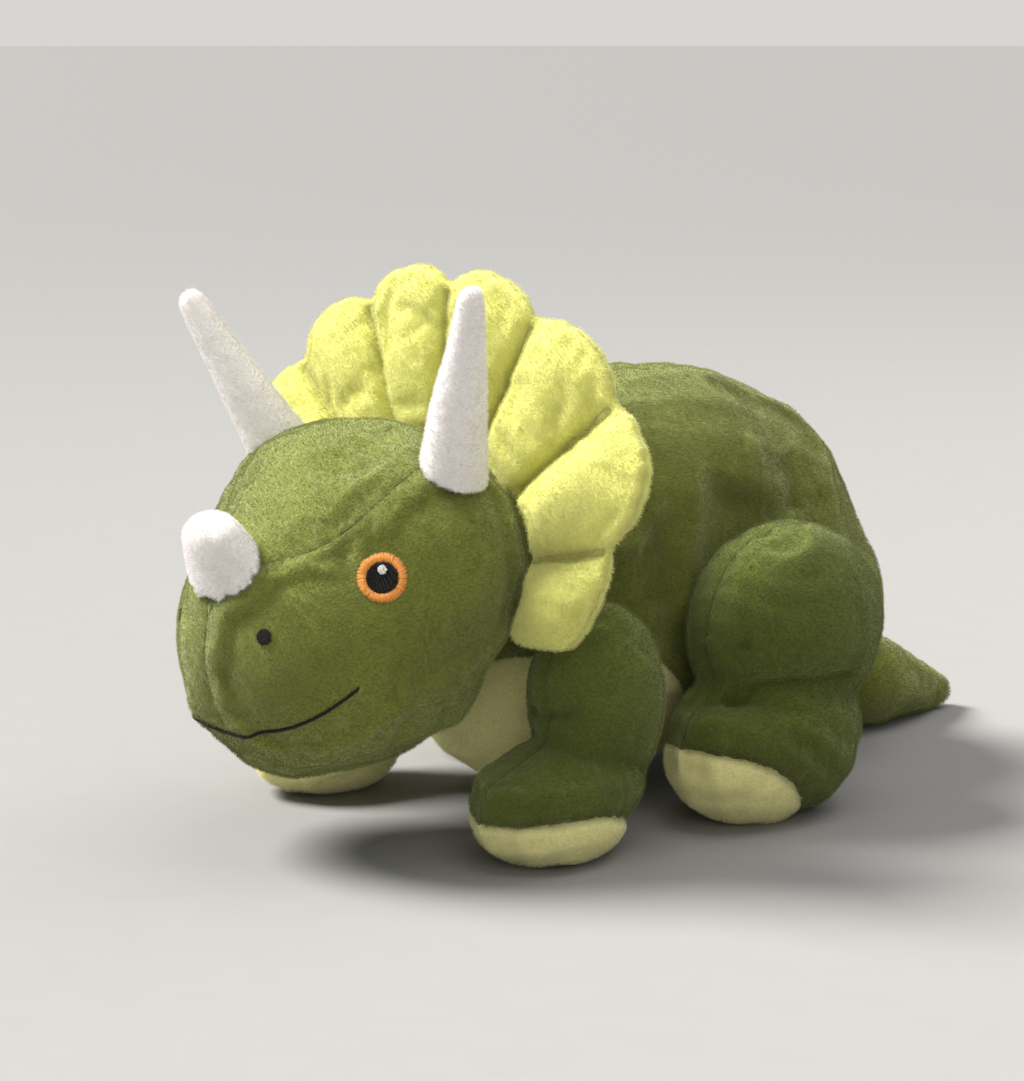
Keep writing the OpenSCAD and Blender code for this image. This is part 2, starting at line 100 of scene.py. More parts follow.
def lattice(cell, seed):
    """A steady random number from 0 to 1 for each whole-number cell."""
    c = cell.astype(np.int64)
    h = (c[..., 0] * 73856093) ^ (c[..., 1] * 19349663) ^ (c[..., 2] * 83492791) ^ (seed * 2654435761)
    h = (h ^ (h >> 13)) * 1274126177
    return ((h ^ (h >> 16)) & 0xFFFFFF) / 0xFFFFFF


def noise(points, size, seed=0):
    """Soft noise from -1 to 1 whose blobs are about size across."""
    p = points / size
    low = np.floor(p)
    f = p - low
    f = f * f * (3 - 2 * f)
    total = np.zeros(len(points))
    for corner in range(8):
        step = np.array([corner & 1, corner >> 1 & 1, corner >> 2 & 1])
        share = np.prod(np.where(step, f, 1 - f), axis=1)
        total += share * lattice(low + step, seed)
    return 2 * total - 1


# ================================================================ meshes as arrays

def mesh_arrays(mesh):
    co = np.empty(len(mesh.vertices) * 3, np.float32)
    mesh.vertices.foreach_get("co", co)
    return co.reshape(-1, 3).astype(float) / MM, [list(p.vertices) for p in mesh.polygons]


def new_object(name, points, faces):
    mesh = bpy.data.meshes.new(name)
    mesh.from_pydata((points * MM).tolist(), [], faces)
    mesh.update()
    made = bpy.data.objects.new(name, mesh)
    bpy.context.scene.collection.objects.link(made)
    return made


def shade_smooth(obj):
    obj.data.polygons.foreach_set("use_smooth", [True] * len(obj.data.polygons))


def through_modifiers(obj):
    """What the object's modifiers make of it, as arrays, and the object gone."""
    mesh = bpy.data.meshes.new_from_object(obj.evaluated_get(bpy.context.evaluated_depsgraph_get()))
    arrays = mesh_arrays(mesh)
    bpy.data.meshes.remove(mesh)
    bpy.data.objects.remove(obj)
    return arrays


def edges_of(faces):
    pairs = {(min(a, b), max(a, b)) for f in faces for a, b in zip(f, f[1:] + f[:1])}
    return np.array(sorted(pairs))


def neighbour_mean(values, edges):
    total, count = np.zeros_like(values), np.zeros(len(values))
    for a, b in ((edges[:, 0], edges[:, 1]), (edges[:, 1], edges[:, 0])):
        np.add.at(total, a, values[b])
        np.add.at(count, a, 1)
    return total / np.maximum(count, 1).reshape((-1,) + (1,) * (values.ndim - 1))


def relax(points, edges, rounds):
    """Taubin smoothing: evens out facets without shrinking the form."""
    shrink, swell = 0.5, 0.52
    for _ in range(rounds):
        points = points + shrink * (neighbour_mean(points, edges) - points)
        points = points - swell * (neighbour_mean(points, edges) - points)
    return points


def triangles_of(faces):
    return np.array([(f[0], f[i], f[i + 1]) for f in faces for i in range(1, len(f) - 1)])


def area_of(points, faces):
    triangles = triangles_of(faces)
    a, b, c = (points[triangles[:, k]] for k in range(3))
    return 0.5 * np.linalg.norm(np.cross(b - a, c - a), axis=1).sum()


def normals_of(points, faces):
    triangles = triangles_of(faces)
    a, b, c = (points[triangles[:, k]] for k in range(3))
    n = np.cross(b - a, c - a)
    out = np.zeros_like(points)
    for k in range(3):
        np.add.at(out, triangles[:, k], n)
    return unit(out)


class Surface:
    """Faces that can be asked for the place nearest to a point."""

    def __init__(self, points, faces):
        self.points = points
        self.tree = BVHTree.FromPolygons(points.tolist(), faces)

    def nearest(self, points):
        hits = [self.tree.find_nearest(p) for p in points.tolist()]
        return np.array([h[0] for h in hits]), np.array([h[3] for h in hits])

    def drop(self, point, toward):
        """Where a line from just outside lands on the surface, and the normal there."""
        hit, normal, _, _ = self.tree.ray_cast(Vector(point - 30 * toward), Vector(toward))
        if hit is None:
            hit, normal, _, _ = self.tree.find_nearest(Vector(point))
        return np.array(hit), np.array(normal)


def cad_arrays(*nodes):
    points, faces, start = [], [], 0
    for name in nodes:
        p, f = mesh_arrays(frame["nodes"][name].data)
        points.append(p)
        faces += [[start + v for v in face] for face in f]
        start += len(p)
    return np.concatenate(points), faces


def cad_surface(*nodes):
    return Surface(*cad_arrays(*nodes))


def middle_of(node):
    low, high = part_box(node)
    return np.array((low + high) / 2) / MM


def in_box(nodes, x, y, z):
    """The point at these shares of the box round some CAD nodes."""
    low = np.min([np.array(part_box(n)[0]) for n in nodes], axis=0) / MM
    high = np.max([np.array(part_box(n)[1]) for n in nodes], axis=0) / MM
    return low + np.array([x, y, z]) * (high - low)


# ================================================================ from CAD solids to sewn cloth

def closed_form(nodes, voxel):
    """One even, closed, smooth mesh over the outside of several CAD solids, and the solids' own surface."""
    points, faces = cad_arrays(*nodes)
    rough = new_object("rough", points, faces)
    remesh = rough.modifiers.new("remesh", "REMESH")
    remesh.mode = "VOXEL"
    remesh.voxel_size = voxel * MM
    points, faces = largest_part(*through_modifiers(rough))
    edges = edges_of(faces)
    target = cad_surface(*nodes)
    points = relax(points, edges, 3)
    points, _ = target.nearest(points)
    return relax(points, edges, 8), faces, target


def largest_part(points, faces):
    """The connected part with the most points, which leaves out the walls inside the form."""
    label = np.arange(len(points))
    edges = edges_of(faces)
    while True:
        low = label.copy()
        np.minimum.at(low, edges[:, 0], label[edges[:, 1]])
        np.minimum.at(low, edges[:, 1], label[edges[:, 0]])
        low = low[low]
        if (low == label).all():
            break
        label = low
    ids, counts = np.unique(label, return_counts=True)
    keep = label == ids[counts.argmax()]
    index = np.cumsum(keep) - 1
    return points[keep], [[int(index[v]) for v in f] for f in faces if keep[f[0]]]


def inflate(points, faces, pins, pressure, cap):
    """Blender's Cloth fills the closed form like stuffing. Seams are pinned, and cap is the furthest move."""
    scene = bpy.context.scene
    bag = new_object("bag", points, faces)
    group = bag.vertex_groups.new(name="pins")
    for index, weight in enumerate(pins):
        if weight > 0.02:
            group.add([index], float(weight), "REPLACE")
    cloth = bag.modifiers.new("cloth", "CLOTH")
    settings = cloth.settings
    settings.quality = 4
    settings.mass = 0.25
    settings.tension_stiffness = 20
    settings.compression_stiffness = 20
    settings.shear_stiffness = 8
    settings.bending_stiffness = 0.8
    settings.vertex_group_mass = "pins"
    settings.use_pressure = True
    settings.uniform_pressure_force = pressure
    settings.shrink_min = -SPARE_CLOTH
    settings.effector_weights.gravity = 0
    cloth.point_cache.frame_start = 1
    cloth.point_cache.frame_end = SOLVER_FRAMES
    for number in range(1, SOLVER_FRAMES + 1):
        scene.frame_set(number)
    filled, _ = through_modifiers(bag)
    scene.frame_set(1)
    move = filled - points
    length = np.linalg.norm(move, axis=1, keepdims=True)
    return points + move * np.minimum(1, cap / np.maximum(length, 1e-9))


def subdivide(points, faces):
    coarse = new_object("coarse", points, faces)
    finer = coarse.modifiers.new("finer", "SUBSURF")
    finer.levels = finer.render_levels = 1
    return through_modifiers(coarse)


def cut_into_panels(points, faces, distances):
    """Cuts the faces along the lines where two panels are equally near.

    Returns the points, the faces and each face's panel."""
    label = distances.argmin(axis=1)
    extra, cut_at = [], {}

    def cut(a, b):
        key = (min(a, b), max(a, b))
        if key not in cut_at:
            la, lb = label[key[0]], label[key[1]]
            fa = distances[key[0], lb] - distances[key[0], la]
            fb = distances[key[1], la] - distances[key[1], lb]
            share = float(np.clip(fa / max(fa + fb, 1e-9), 0.06, 0.94))
            cut_at[key] = len(points) + len(extra)
            extra.append(points[key[0]] * (1 - share) + points[key[1]] * share)
        return cut_at[key]

    made, panel = [], []
    for face in faces:
        labels = label[face]
        if (labels == labels[0]).all():
            made.append(face)
            panel.append(int(labels[0]))
            continue
        count = len(face)
        starts = [k for k in range(count) if labels[k] != labels[k - 1]]
        middle = []
        if len(starts) > 2:
            middle = [len(points) + len(extra)]
            extra.append(points[face].mean(axis=0))
        for first in starts:
            run = [first]
            while labels[(run[-1] + 1) % count] == labels[first] and len(run) < count:
                run.append((run[-1] + 1) % count)
            corners = [face[k] for k in run]
            before = cut(face[run[0] - 1], corners[0])
            after = cut(corners[-1], face[(run[-1] + 1) % count])
            made.append([before] + corners + [after] + middle)
            panel.append(int(labels[first]))
    if extra:
        points = np.concatenate([points, np.array(extra)])
    return points, made, np.array(panel)


def spline(points, spacing=0.5):
    """Points close together on a smooth curve through a few."""
    p = np.array(points, float)
    ends = np.vstack([2 * p[0] - p[1], p, 2 * p[-1] - p[-2]])
    out = []
    for i in range(len(p) - 1):
        a, b, c, d = ends[i:i + 4]
        steps = max(2, int(np.linalg.norm(c - b) / spacing))
        t = (np.arange(steps) / steps)[:, None]
        curve = 2 * b + (c - a) * t + (2 * a - 5 * b + 4 * c - d) * t ** 2 + (3 * b - a - 3 * c + d) * t ** 3
        out.append(0.5 * curve)
    return np.vstack(out + [p[-1:]])


def line_distance(points, line):
    """How far each point is from the line, and where along it, from 0 to 1, the nearest place lies."""
    tree = KDTree(len(line))
    for i, p in enumerate(line):
        tree.insert(p, i)
    tree.balance()
    found = [tree.find(p) for p in points.tolist()]
    return np.array([f[2] for f in found]), np.array([f[1] for f in found]) / max(1, len(line) - 1)


def crease_relief(points, target, crease):
    """Height and painted shade of one fold: the points on it, its depth, its width and the width of its
    banks.

    A negative depth is a ridge."""
    through, depth, width, bank = crease
    taper = 0.18
    line = spline(target.nearest(np.array(through, float))[0])
    distance, along = line_distance(points, line)
    ends = smooth_step(along / taper) * smooth_step((1 - along) / taper)
    sharp = np.exp(-(distance / width) ** 2)
    soft = np.exp(-(distance / bank) ** 2)
    # The second value is painted shade down in the fold, only where the fold is a groove.
    return -depth * (0.55 * sharp + 0.45 * soft) * ends, 0.6 * sharp * ends * (depth > 0)


# ================================================================ one stuffed part

def nearest_on_each(surfaces, points, shape=None):
    """The place nearest to each point on each surface, and how far it is, with one column to a surface."""
    found = [s.nearest(points) for s in surfaces]
    near = np.array([f[1] for f in found]).T
    return np.array([f[0] for f in found]), shape(points, near) if shape else near


class Plush:
    """The sewn cloth of one stuffed part: closed, inflated, cut into panels and given its seams and folds.

    panels are its outer CAD nodes, in the order of the panels' numbers, and cores are its stuffing.
    neighbours are the nodes that it keeps clear of, and otherwise the cloth stands up to proud over the CAD.
    lumps, seam and pucker are how uneven the stuffing is, how deep its seams lie and how much they gather.
    Seams of soft_panel hardly show. creases are folds, and grooves are sewn channels along CAD nodes.
    shape changes the distances to the panels, and so moves the seams. root is what fill_root is given."""

    def __init__(self, panels, cores, voxel, seed, neighbours=(), pressure=4.0, cap=2.5, proud=1.0, lumps=0.8,
                 seam=1.0, pucker=1.0, soft_panel=None, creases=(), grooves=(), shape=None, root=None):
        points, faces, target = closed_form(panels + cores, voxel)
        surfaces = [cad_surface(n) for n in panels]
        if len(panels) > 1:
            two = np.sort(nearest_on_each(surfaces, points)[1], axis=1)
            pins = np.exp(-((two[:, 1] - two[:, 0]) / PIN_WIDTH) ** 2)
        else:
            pins = np.zeros(len(points))
        points = inflate(points, faces, pins, pressure, cap)
        points, faces = subdivide(points, faces)
        points, faces, panel = cut_into_panels(points, faces, nearest_on_each(surfaces, points, shape)[1])
        normals = normals_of(points, faces)
        at_cad, _ = target.nearest(points)
        room = np.full(len(points), proud)
        if neighbours:
            _, gap = cad_surface(*neighbours).nearest(at_cad)
            room = np.clip(gap - CLEARANCE, -CLEARANCE, proud)
        over = np.maximum(0, ((points - at_cad) * normals).sum(axis=1) - room)
        points = points - normals * over[:, None]
        if root:
            points = fill_root(points, *root)

        height = lumps * noise(points, LUMP, seed) + 0.35 * lumps * noise(points, DIMPLE, seed + 1)
        height += 0.10 * noise(points, TUFT, seed + 2)
        # shade is painted shade: seams, folds and sewn channels darken the cloth's colour there.
        shade = np.zeros(len(points))
        if len(panels) > 1:
            rise, dark = seam_relief(points, surfaces, shape, seam, pucker, soft_panel, seed)
            height += rise
            shade = np.maximum(shade, dark)
        for crease in creases:
            rise, dark = crease_relief(points, target, crease)
            height += rise
            shade = np.maximum(shade, dark)
        for nodes, depth, width, bank in grooves:
            _, distance = cad_surface(*nodes).nearest(points)
            sharp = np.exp(-(distance / width) ** 2)
            height -= depth * (0.6 * sharp + 0.4 * np.exp(-(distance / bank) ** 2))
            shade = np.maximum(shade, 0.8 * sharp)
        self.points = points + normals * height[:, None]
        self.points[:, 2] = np.maximum(self.points[:, 2], 0)     # it rests on the floor, not in it
        self.normals = normals
        self.faces = faces
        self.panel = panel
        self.shade = np.clip(shade, 0, 1)
        self.surface = Surface(self.points, faces)

    def panel_object(self, name, index, body, finish, replaces, bald=(), pile=1.0):
        """One panel as a closed sheet of cloth with its pile, riding on its body."""
        chosen = [f for f, p in zip(self.faces, self.panel) if p == index]
        used = sorted({v for f in chosen for v in f})
        index_of = {v: i for i, v in enumerate(used)}
        outer = [[index_of[v] for v in f] for f in chosen]
        count = len(used)
        top = self.points[used]
        points = np.vstack([top, top - CLOTH * self.normals[used]])
        sides = {}
        for f in outer:
            for a, b in zip(f, f[1:] + f[:1]):
                if (b, a) in sides:
                    del sides[(b, a)]
                else:
                    sides[(a, b)] = True
        rim = [[b, a, a + count, b + count] for a, b in sides]
        under = [[v + count for v in reversed(f)] for f in outer]
        made = new_object(name, points, outer + under + rim)
        shade_smooth(made)
        # The point attribute seam carries the painted shade of seams and folds to the material; the inner
        # face is painted fully shaded.
        depth = made.data.attributes.new("seam", "FLOAT", "POINT")
        depth.data.foreach_set("value", np.concatenate([self.shade[used], np.ones(count)]).astype(np.float32))
        made.data.materials.append(finish.cloth)
        made.data.materials.append(finish.strand)
        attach(made, body)
        weight = np.where(self.shade[used] > DEEP_SHADE, THIN_PILE, 1.0)
        for line, radius in bald:
            weight[line_distance(top, np.atleast_2d(line))[0] < radius] = 0
        grow_pile(made, weight, area_of(points, outer), finish, pile)
        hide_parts(*replaces)


def seam_relief(points, surfaces, shape, seam, pucker, soft_panel, seed):
    """Height and painted shade of the seams, where two panels are equally near, with the gathers beside them.
    """
    places, near = nearest_on_each(surfaces, points, shape)
    order = near.argsort(axis=1)
    rows = np.arange(len(points))
    across = near[rows, order[:, 1]] - near[rows, order[:, 0]]
    foot = places[order[:, 1], rows]
    groove = np.exp(-(across / SEAM_WIDTH) ** 2)
    bank = np.exp(-(across / BANK_WIDTH) ** 2)
    gather = noise(foot, 4.5, seed + 3) * np.exp(-(across / 7.0) ** 2)
    gather += 0.9 * noise(foot, 2.4, seed + 4) * np.exp(-(across / 3.5) ** 2)
    strength = np.full(len(points), seam)
    if soft_panel is not None:
        strength[(order[:, :2] == soft_panel).any(axis=1)] *= SOFT_SEAM
    rise = strength * (-SEAM_DEPTH * groove - BANK_DEPTH * bank + 0.45 * pucker * gather * (1 - 0.6 * groove))
    # The second value is painted shade down in the groove of each seam.
    return rise, strength * groove


def fill_root(points, reach, back, widen):
    """Spreads the front end of a part and pushes it against the part before it."""
    share = smooth_step((points[:, 1].min() + reach - points[:, 1]) / reach)
    middle = points[points[:, 1] < points[:, 1].min() + reach].mean(axis=0)
    spread = points.copy()
    spread[:, 0] += widen * share * (points[:, 0] - middle[0])
    spread[:, 2] += widen * share * (points[:, 2] - middle[2]) * (points[:, 2] > middle[2])
    spread[:, 1] -= back * share
    return spread


def grow_pile(obj, weight, area, finish, amount):
    """Short strands over the outer face of a panel. amount is how many, next to 1 for an ordinary pile."""
    scatter, tip_share, strand_mm = 0.3, 0.3, 0.1
    group = obj.vertex_groups.new(name="pile")
    for value in np.unique(weight):
        if value > 0:
            group.add(np.flatnonzero(weight == value).tolist(), float(value), "REPLACE")
    system = obj.modifiers.new("pile", "PARTICLE_SYSTEM").particle_system
    system.seed = PILE_SEED
    system.vertex_group_density = "pile"
    hair = system.settings
    hair.type = "HAIR"
    hair.use_advanced_hair = True
    hair.count = int(area * PILE_PER_MM2 * amount)
    hair.hair_step = hair.display_step = hair.render_step = 2
    hair.hair_length = finish.pile * MM
    hair.emit_from = "FACE"
    hair.distribution = "RAND"
    hair.use_even_distribution = True
    hair.use_emit_random = True
    speed = hair.normal_factor       # Blender keeps the length as four times this speed off the cloth
    hair.object_align_factor = [speed * part for part in finish.lean]
    hair.factor_random = scatter * speed
    hair.root_radius = 1.0
    hair.tip_radius = tip_share
    hair.radius_scale = strand_mm * MM
    hair.material = 2


# ================================================================ materials

class Finish:
    """A plush cloth material, the material of its strands, how long they are and which way they lean.

    name names its two materials and is kept as slot, which nothing reads. ground is the cloth's colour, and
    root and tip are those of a strand.
    mottle is how unevenly it is brushed. The last two set how dark the painted shade in the gaps between
    tufts is, on the strands and on the cloth."""

    def __init__(self, name, ground, root, tip, tint, lean, pile=PALE_PILE_LENGTH, mottle=0.14, sheen=0.5,
                 strand_gap_shade=0.55, tuft_gap_shade=0.52):
        self.slot = name
        self.pile = pile
        self.lean = lean
        self.cloth = plush_material(name, ground, mottle, sheen, tint, tuft_gap_shade)
        self.strand = strand_material(name + "_pile", root, tip, strand_gap_shade, mottle)


def tinted(colour, share):
    return tuple(min(1.0, max(0.0, c * share)) for c in colour) + (1.0,)


def add_node(tree, kind, inputs=(), **settings):
    made = tree.nodes.new(kind)
    for key, value in settings.items():
        setattr(made, key, value)
    for key, value in inputs:
        if isinstance(value, bpy.types.NodeSocket):
            tree.links.new(value, made.inputs[key])
        else:
            made.inputs[key].default_value = value
    return made


def mix_colours(tree, share, first, second, blend="MIX"):
    made = tree.nodes.new("ShaderNodeMix")
    made.data_type = "RGBA"
    made.blend_type = blend
    for socket, value in ((0, share), (6, first), (7, second)):
        if isinstance(value, bpy.types.NodeSocket):
            tree.links.new(value, made.inputs[socket])
        else:
            made.inputs[socket].default_value = value
    return made.outputs[2]


def ramp(tree, value, *stops):
    made = add_node(tree, "ShaderNodeValToRGB", [("Fac", value)])
    elements = made.color_ramp.elements
    while len(elements) > len(stops):
        elements.remove(elements[-1])
    while len(elements) < len(stops):
        elements.new(0.5)
    for element, (place, level) in zip(elements, stops):
        element.position = place
        element.color = (level, level, level, 1) if isinstance(level, (int, float)) else level
    return made.outputs["Color"]


def grey(level):
    return (level, level, level, 1.0)


def start_material(name):
    material = bpy.data.materials.new(name)
    material.use_nodes = True
    tree = material.node_tree
    return material, tree, tree.nodes["Principled BSDF"]


def plush_material(name, colour, mottle, sheen, tint, tuft_gap_shade):
    """Short pile: patches brushed light and dark, fine tufts with painted shade in their gaps, painted shade
    in the seams and folds, and a soft sheen.
    """
    material, tree, shader = start_material(name)
    place = add_node(tree, "ShaderNodeTexCoord").outputs["Object"]
    nap = add_node(tree, "ShaderNodeMapping",
                   [("Vector", place), ("Rotation", (0.5, 0.2, 0.4)), ("Scale", (1.0, 0.32, 1.0))]).outputs[0]
    brushed = add_node(tree, "ShaderNodeTexNoise",
                       [("Vector", place), ("Scale", BRUSHED_SCALE), ("Detail", 3.0)]).outputs["Fac"]
    tuft = add_node(tree, "ShaderNodeTexNoise",
                    [("Vector", nap), ("Scale", 1500.0), ("Detail", 3.0), ("Roughness", 0.6)]).outputs["Fac"]
    patch = mix_colours(tree, ramp(tree, brushed, (0.35, 0.0), (0.65, 1.0)),
                        tinted(colour, 1 - mottle), tinted(colour, 1 + mottle))
    # Painted shade in the gaps between tufts: the low places of the tuft bump take the darker colour.
    tufted = mix_colours(tree, ramp(tree, tuft, (0.3, 0.0), (0.7, 1.0)),
                         tinted(colour, tuft_gap_shade), patch)
    # Painted shade in the seams, folds and sewn channels: the seam attribute draws the colour down toward a
    # third of it.
    depth = add_node(tree, "ShaderNodeAttribute", attribute_name="seam").outputs["Fac"]
    deep = ramp(tree, depth, (0.0, 0.0), (1.0, 0.75))
    tree.links.new(mix_colours(tree, deep, tufted, tinted(colour, 0.35)), shader.inputs["Base Color"])
    shader.inputs["Roughness"].default_value = 0.95
    shader.inputs["Specular IOR Level"].default_value = 0.15
    shader.inputs["Sheen Weight"].default_value = sheen
    shader.inputs["Sheen Roughness"].default_value = 0.45
    shader.inputs["Sheen Tint"].default_value = tint
    bump = add_node(tree, "ShaderNodeBump",
                    [("Height", tuft), ("Strength", 0.9), ("Distance", 0.0006)])
    tree.links.new(bump.outputs[0], shader.inputs["Normal"])
    return material


def strand_material(name, root, tip, strand_gap_shade, mottle):
    """A strand of pile, darker at its root for painted shade down in the pile and paler at its tip for a
    painted sheen, with some strands paler than others.
    """
    material, tree, shader = start_material(name)
    info = add_node(tree, "ShaderNodeHairInfo")
    place = add_node(tree, "ShaderNodeTexCoord").outputs["Object"]
    brushed = add_node(tree, "ShaderNodeTexNoise",
                       [("Vector", place), ("Scale", BRUSHED_SCALE), ("Detail", 3.0)])
    # Painted shade at the root and a painted sheen at the tip, from the strand's root and tip colours.
    along = mix_colours(tree, info.outputs["Intercept"], tinted(root, 1), tinted(tip, 1))
    varied = mix_colours(tree, ramp(tree, info.outputs["Random"], (0.0, 0.0), (1.0, 1.0)),
                         grey(0.80), grey(1.0))
    patch = mix_colours(tree, ramp(tree, brushed.outputs["Fac"], (0.35, 0.0), (0.65, 1.0)),
                        grey(1 - mottle), grey(1.0))
    tuft = add_node(tree, "ShaderNodeTexNoise",
                    [("Vector", place), ("Scale", 850.0), ("Detail", 2.0), ("Roughness", 0.6)])
    # Painted shade in the gaps between tufts: strands there are darker.
    clump_gap_shade = mix_colours(tree, ramp(tree, tuft.outputs["Fac"], (0.36, 0.0), (0.62, 1.0)),
                        grey(strand_gap_shade), grey(1.0))
    colour = mix_colours(tree, 1.0, mix_colours(tree, 1.0, along, varied, "MULTIPLY"), patch, "MULTIPLY")
    colour = mix_colours(tree, 1.0, colour, clump_gap_shade, "MULTIPLY")
    tree.links.new(colour, shader.inputs["Base Color"])
    shader.inputs["Roughness"].default_value = 0.7
    shader.inputs["Specular IOR Level"].default_value = 0.25
    shader.inputs["Sheen Weight"].default_value = 0.3
    shader.inputs["Sheen Roughness"].default_value = 0.5
    return material


def thread_material(name, colour, sheen=0.25, rough=0.42):
    """Glossy embroidery thread, with the twist of its yarn as fine bands of painted shade and painted
    highlight over a bump.
    """
    material, tree, shader = start_material(name)
    place = add_node(tree, "ShaderNodeTexCoord").outputs["Object"]
    twist = add_node(tree, "ShaderNodeTexWave",
                     [("Vector", place), ("Scale", 900.0), ("Distortion", 6.0), ("Detail", 2.0)],
                     wave_type="BANDS").outputs["Fac"]
    # The bands darken and lighten the thread's colour: painted shade and painted highlight on the twist.
    shade = mix_colours(tree, ramp(tree, twist, (0.2, 0.0), (0.8, 1.0)),
                        tinted(colour, 0.72), tinted(colour, 1.08))
    tree.links.new(shade, shader.inputs["Base Color"])
    shader.inputs["Roughness"].default_value = rough
    shader.inputs["Specular IOR Level"].default_value = 0.3
    shader.inputs["Sheen Weight"].default_value = sheen
    bump = add_node(tree, "ShaderNodeBump", [("Height", twist), ("Strength", 0.4), ("Distance", 0.00015)])
    tree.links.new(bump.outputs[0], shader.inputs["Normal"])
    return material


# Each finish's strand root is darker for painted shade in the pile, and its tip is paler for a painted sheen.
GREEN = Finish("green_plush", (0.215, 0.245, 0.040), (0.17, 0.195, 0.022), (0.44, 0.48, 0.14),
               tint=(0.86, 0.95, 0.62, 1), lean=(0.1, 0.2, -0.3), pile=PILE_LENGTH, sheen=0.75)
DARK_GREEN = Finish("dark_green_plush", (0.125, 0.155, 0.024), (0.10, 0.122, 0.014), (0.30, 0.345, 0.09),
                    tint=(0.70, 0.80, 0.45, 1), lean=(0.1, 0.2, -0.35), pile=PILE_LENGTH, sheen=0.55)
LIME = Finish("yellow_green_plush", (0.74, 0.735, 0.20), (0.74, 0.725, 0.20), (0.86, 0.855, 0.38),
              tint=(1, 1, 0.75, 1), lean=(0, 0, -0.2), mottle=0.04, strand_gap_shade=0.86, tuft_gap_shade=0.84)
PALE = Finish("pale_yellow_plush", (0.88, 0.84, 0.38), (0.86, 0.82, 0.34), (0.97, 0.95, 0.62),
              tint=(1, 1, 0.8, 1), lean=(0, 0.2, -0.2), mottle=0.05, strand_gap_shade=0.85, tuft_gap_shade=0.82)
BONE = Finish("off_white_plush", (0.93, 0.895, 0.875), (0.92, 0.88, 0.86), (0.98, 0.96, 0.95),
              tint=(1, 1, 1, 1), lean=(0, 0, 0.2), mottle=0.03, strand_gap_shade=0.9, tuft_gap_shade=0.86)


# ================================================================ embroidery

def thread_bar(a, b, up, radius, arch):
    """One stitch from a to b: it rises out of the cloth, arches over and dives back in."""
    sides, rings, sunk = 6, 6, 0.25
    along = unit(b - a)
    across = unit(np.cross(up, along))
    lift = np.cross(along, across)
    t = np.linspace(0, 1, rings)
    middle = a + t[:, None] * (b - a) + lift * (arch * 4 * t * (1 - t) - sunk * radius)[:, None]
    thin = np.maximum(0.35, np.sqrt(np.clip(4 * t * (1 - t), 0, 1)))
    points = []
    for centre, share in zip(middle, thin):
        for k in range(sides):
            turn = 2 * math.pi * k / sides
            points.append(centre + radius * share * (math.cos(turn) * across + math.sin(turn) * lift))
    faces = [[i * sides + k, i * sides + (k + 1) % sides,
              (i + 1) * sides + (k + 1) % sides, (i + 1) * sides + k]
             for i in range(rings - 1) for k in range(sides)]
    faces.append(list(range(sides))[::-1])
    faces.append([(rings - 1) * sides + k for k in range(sides)])
    return np.array(points), faces


def embroidery(name, bars, material, node):
    """Many stitches as one piece on the head, in place of a CAD node."""
    points, faces, start = [], [], 0
    for p, f in bars:
        points.append(p)
        faces += [[v + start for v in face] for face in f]
        start += len(p)
    made = new_object(name, np.concatenate(points), faces)
    shade_smooth(made)
    made.data.materials.append(material)
    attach(made, "head")
    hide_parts(node)


class Spot:
    """A flat working place on a plush surface: x is level, y runs up, and put() lays a point on the cloth."""

    def __init__(self, plush, node, middle):
        centre = middle_of(node)
        inward = unit(middle - centre)
        self.surface = plush.surface
        self.centre, _ = self.surface.drop(centre, inward)
        near = np.linalg.norm(plush.points - self.centre, axis=1) < 6
        self.up = unit(plush.normals[near].mean(axis=0))
        self.x = unit(np.cross(UP, self.up))
        self.y = np.cross(self.up, self.x)

    def put(self, x, y, lift):
        p, _ = self.surface.drop(self.centre + x * self.x + y * self.y, -self.up)
        return p + lift * self.up


def ring_of_stitches(spot, inner, outer, count, lift, rng):
    """Stitches side by side round a ring, each a little askew."""
    bars = []
    radius = 0.62 * math.pi * (inner + outer) / count
    for k in range(count):
        turn = 2 * math.pi * (k + 0.25 * rng.uniform(-1, 1)) / count
        skew = turn + 0.05
        r_in = inner + rng.uniform(-0.12, 0.12)
        r_out = outer + rng.uniform(-0.18, 0.18)
        a = spot.put(r_in * math.cos(turn), r_in * math.sin(turn), lift)
        b = spot.put(r_out * math.cos(skew), r_out * math.sin(skew), lift - 0.1)
        bars.append(thread_bar(a, b, spot.up, radius, 0.32))
    return bars


def filled_disc(spot, radius, x0, y0, pitch, stitch, lift, rng, squeeze=1.0):
    """Rows of short stitches side by side, each row started a little further on than the last."""
    bars = []
    rows = int(2 * radius / pitch)
    for k in range(rows + 1):
        x = -radius + pitch * (k + 0.5)
        if abs(x) >= radius:
            continue
        half = squeeze * math.sqrt(radius * radius - x * x)
        y = -half - stitch * ((k * 0.37) % 1.0)
        while y < half:
            low, high = max(y, -half), min(y + stitch, half)
            if high - low > 0.25:
                a = spot.put(x0 + x + rng.uniform(-0.04, 0.04), y0 + low, lift)
                b = spot.put(x0 + x + rng.uniform(-0.04, 0.04), y0 + high, lift)
                bars.append(thread_bar(a, b, spot.up, 0.62 * pitch, 0.16))
            y += stitch
    return bars


# ================================================================ the parts of the toy

